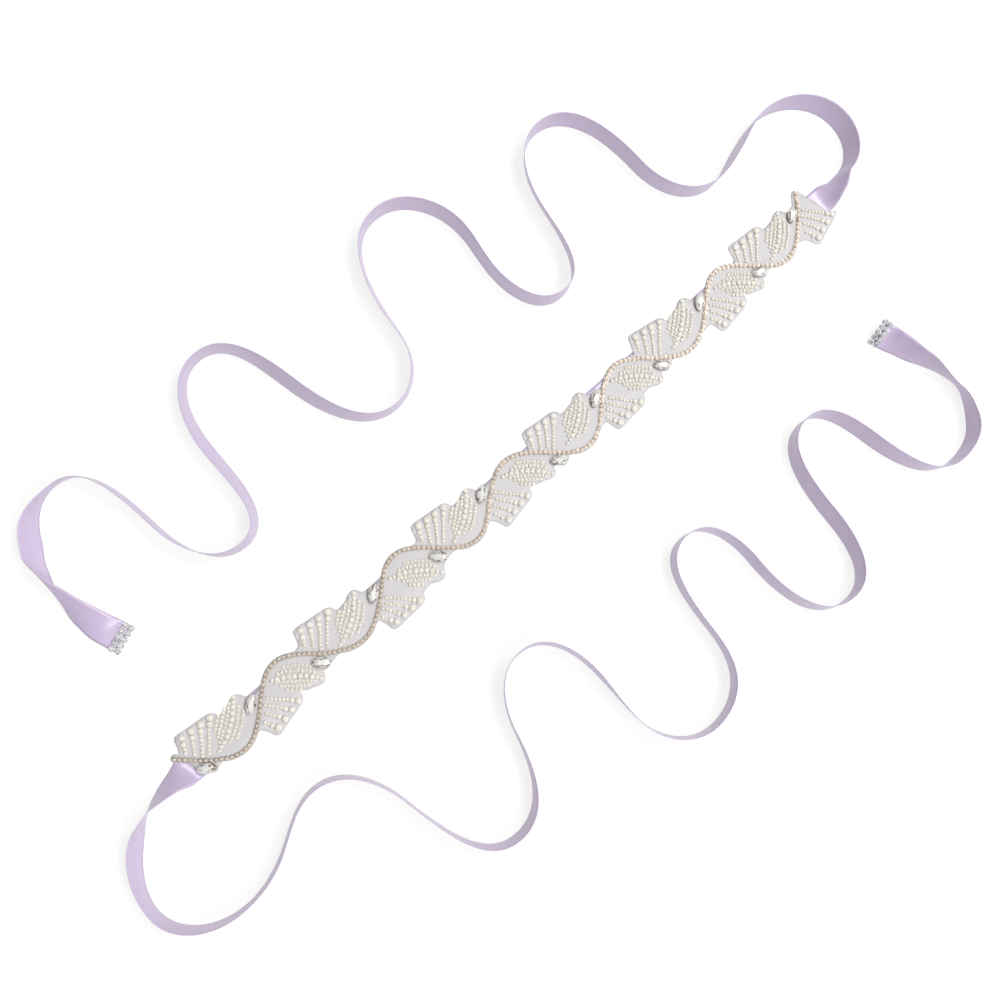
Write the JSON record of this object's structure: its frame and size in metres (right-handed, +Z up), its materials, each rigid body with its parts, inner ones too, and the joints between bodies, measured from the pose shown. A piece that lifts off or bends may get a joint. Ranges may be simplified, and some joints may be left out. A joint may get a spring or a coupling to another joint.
{
  "type": "bridal sash",
  "caption": "Long narrow satin ribbon sash laid in waves on its edge, its middle flat under a beaded leaf-and-fan net applique, with a rhinestone trim across each tip.",
  "frame": {"origin": "under the middle of the whole laid-out sash, on the plane that it lies on", "axes": "+X along the applique, +Z up from the surface, +Y across the applique towards the tail that ends at the applique's left"},
  "size_m": [0.5786, 0.3384, 0.016],
  "materials": {
    "satin": "lilac satin, soft sheen along the weave",
    "net": "fine translucent white net carrying ivory pearls and seed beads",
    "champagne": "gold-lined rocaille beads",
    "crystal": "clear faceted navettes in pale gold claw settings",
    "silver": "round clear stones in silver cups"
  },
  "bodies": {
    "root": {"ribbon_middle": "satin", "tail_upper_1": "satin", "tail_upper_2": "satin", "tail_upper_3": "satin", "tail_upper_4": "satin", "tail_upper_5": "satin", "tail_lower_1": "satin", "tail_lower_2": "satin", "tail_lower_3": "satin", "tail_lower_4": "satin", "tail_lower_5": "satin", "net_applique": "net", "vine_beads": "champagne", "crystal_01": "crystal", "crystal_02": "crystal", "crystal_03": "crystal", "crystal_04": "crystal", "crystal_05": "crystal", "crystal_06": "crystal", "crystal_07": "crystal", "crystal_08": "crystal", "crystal_09": "crystal", "crystal_10": "crystal", "crystal_11": "crystal", "crystal_12": "crystal", "tip_trim_upper": "silver", "tip_trim_lower": "silver"}
  },
  "joints": []
}
